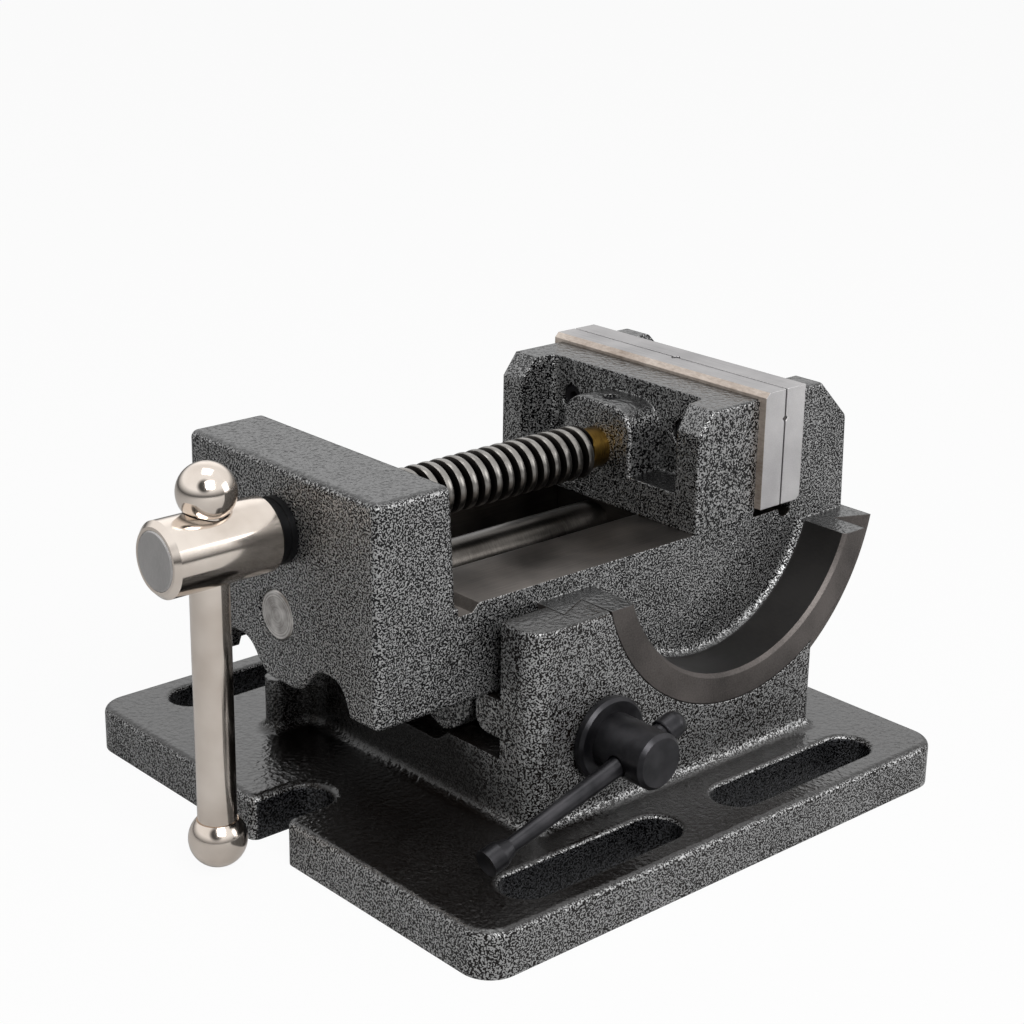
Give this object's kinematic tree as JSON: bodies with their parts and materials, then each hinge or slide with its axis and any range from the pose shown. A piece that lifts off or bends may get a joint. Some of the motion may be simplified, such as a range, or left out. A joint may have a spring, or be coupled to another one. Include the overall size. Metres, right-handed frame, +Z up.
{
  "type": "tilting drill press vise",
  "caption": "Tilting drill press vise: a screw-driven jaw slides on a body that swings up in a dovetail cradle on a slotted base and is clamped by a cross screw with a bar.",
  "frame": {"origin": "centre of the base plate's underside, on the surface that the vise stands on", "axes": "+X along the lead screw from the handle towards the fixed jaw, +Y across the vise away from the cross screw's hub, +Z up, with the body level and the jaws closed"},
  "size_m": [0.2465, 0.204, 0.1305],
  "materials": {
    "hammered_casting": "grey and black hammered enamel over cast iron, milled where it slides",
    "ground_plate": "ground",
    "turned_steel": "turned, bright",
    "nickel": "nickel plated, polished",
    "black_steel": "black oxide, satin",
    "bronze": "turned bronze"
  },
  "bodies": {
    "base": {"base_casting": "hammered_casting", "lock_nut": "black_steel"},
    "body": {"vise_body": "hammered_casting", "fixed_jaw_plate": "ground_plate", "fixed_plate_screws": "black_steel", "guide_rod": "turned_steel"},
    "jaw": {"movable_jaw": "hammered_casting", "movable_jaw_plate": "ground_plate", "movable_plate_screws": "black_steel", "screw_bush": "bronze", "retaining_screw": "black_steel", "keeper_plate": "turned_steel", "keeper_bolts": "black_steel"},
    "screw": {"lead_screw": "turned_steel", "screw_hub": "nickel", "screw_collar": "black_steel"},
    "handle": {"handle_bar": "nickel", "upper_handle_ball": "nickel", "lower_handle_ball": "nickel"},
    "washer": {"lock_washer": "black_steel"},
    "lock": {"lock_screw": "black_steel"},
    "lock_lever": {"lock_bar": "black_steel", "lock_bar_long_cap": "black_steel", "lock_bar_short_cap": "black_steel"}
  },
  "joints": [
    {"name": "body_tilt", "type": "hinge", "parent": "base", "child": "body", "pos_m": [0.0385, 0, 0.0965], "axis": [0, 1, 0], "range_deg": [0, 90]},
    {"name": "jaw_slide", "type": "slide", "parent": "body", "child": "jaw", "axis": [-1, 0, 0], "range_m": [0, 0.09]},
    {"name": "screw_turn", "type": "hinge", "parent": "jaw", "child": "screw", "pos_m": [0, 0, 0.1045], "axis": [-1, 0, 0], "range_deg": [0, 6480]},
    {"name": "handle_slide", "type": "slide", "parent": "screw", "child": "handle", "axis": [0, 0, 1], "range_m": [0, 0.076]},
    {"name": "lock_draw", "type": "slide", "parent": "base", "child": "washer", "axis": [0, 1, 0], "range_m": [0, 0.0006]},
    {"name": "lock_turn", "type": "hinge", "parent": "washer", "child": "lock", "pos_m": [-0.0215, 0, 0.0395], "axis": [0, 1, 0], "range_deg": [0, 120]},
    {"name": "lock_bar_slide", "type": "slide", "parent": "lock", "child": "lock_lever", "axis": [-0.9617, 0, -0.274], "range_m": [-0.0435, 0]}
  ],
  "couplings": [
    {"joint": "jaw_slide", "follows": "screw_turn", "m_per_rad": 0.00079577},
    {"joint": "lock_draw", "follows": "lock_turn", "m_per_rad": 0.00027852}
  ]
}
